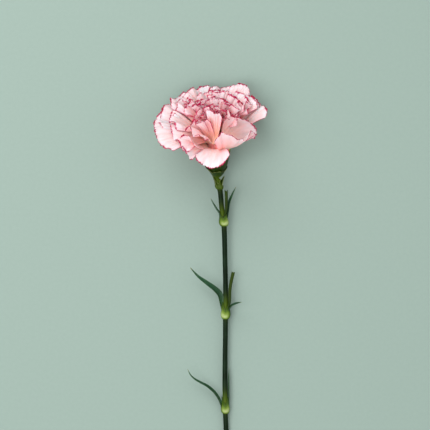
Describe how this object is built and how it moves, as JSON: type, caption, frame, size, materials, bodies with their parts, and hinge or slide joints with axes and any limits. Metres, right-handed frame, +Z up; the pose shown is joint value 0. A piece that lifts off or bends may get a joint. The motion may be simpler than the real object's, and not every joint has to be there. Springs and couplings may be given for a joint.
{
  "type": "cut carnation",
  "caption": "Cut double carnation lying on its side: toothed petals in layers in a green calyx, on a jointed stem with narrow paired leaves.",
  "frame": {"origin": "on the floor, under the middle of the lying flower's box", "axes": "+Z up from the floor, +Y along the stem from its cut end to the head, +X to the right of the face seen from above"},
  "size_m": [0.0848, 0.2998, 0.0643],
  "materials": {
    "stem_skin": "smooth green stem with a pale waxy bloom",
    "leaf": "grey-green, matt and waxy, with fine lengthwise veins",
    "bract": "pale yellow-green with light margins",
    "calyx_skin": "smooth dark green, finely ribbed",
    "ovary_skin": "smooth pale green",
    "petal": "velvety pale pink, crimson at the toothed margin"
  },
  "bodies": {
    "root": {"stem": "stem_skin", "leaf_pair_upper": "leaf", "leaf_pair_middle": "leaf", "leaf_pair_lower": "leaf", "bract_pair": "bract", "epicalyx": "bract", "calyx": "calyx_skin", "ovary": "ovary_skin", "bloom": "petal"}
  },
  "joints": []
}
